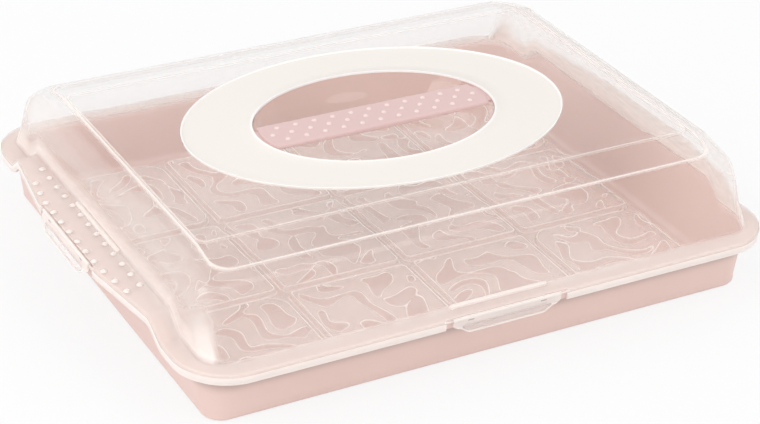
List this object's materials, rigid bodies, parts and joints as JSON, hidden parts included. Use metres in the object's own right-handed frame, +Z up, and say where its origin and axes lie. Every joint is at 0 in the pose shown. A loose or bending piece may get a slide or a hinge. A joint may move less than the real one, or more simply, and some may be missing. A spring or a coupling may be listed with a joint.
{
  "type": "cake carrier",
  "caption": "Rectangular cake carrier: shallow drafted tray, clear domed lid with a sunk carrying handle, hinged edge clips and a lift-out embossed cell insert.",
  "frame": {"origin": "middle of the underside of the tray", "axes": "+Z up, +X along the carrier's length, the long front side faces -Y"},
  "size_m": [0.4574, 0.3684, 0.0963],
  "materials": {
    "tray_plastic": "satin, pale pink",
    "insert_plastic": "clear, slightly milky",
    "lid_plastic": "clear, with a matt cream ring round the handle well",
    "handle_plastic": "satin, dusty pink",
    "clip_plastic": "milky clear"
  },
  "bodies": {
    "base": {"tray": "tray_plastic"},
    "liner": {"insert": "insert_plastic"},
    "cover": {"lid": "lid_plastic", "handle": "handle_plastic"},
    "front_clip": {"clip_front": "clip_plastic"},
    "back_clip": {"clip_back": "clip_plastic"},
    "left_clip": {"clip_left": "clip_plastic"},
    "right_clip": {"clip_right": "clip_plastic"}
  },
  "joints": [
    {"name": "lid_lift", "type": "slide", "parent": "base", "child": "cover", "axis": [0, 0, 1], "range_m": [0, 0.13]},
    {"name": "insert_lift", "type": "slide", "parent": "base", "child": "liner", "axis": [0, 0, 1], "range_m": [0, 0.045]},
    {"name": "front_clip_hinge", "type": "hinge", "parent": "cover", "child": "front_clip", "pos_m": [0, -0.17897, 0.0423], "axis": [-1, 0, 0], "range_deg": [0, 95]},
    {"name": "back_clip_hinge", "type": "hinge", "parent": "cover", "child": "back_clip", "pos_m": [0, 0.17897, 0.0423], "axis": [1, 0, 0], "range_deg": [0, 95]},
    {"name": "left_clip_hinge", "type": "hinge", "parent": "cover", "child": "left_clip", "pos_m": [-0.22347, 0, 0.0536], "axis": [0, 1, 0], "range_deg": [0, 95]},
    {"name": "right_clip_hinge", "type": "hinge", "parent": "cover", "child": "right_clip", "pos_m": [0.22347, 0, 0.0536], "axis": [0, -1, 0], "range_deg": [0, 95]}
  ]
}
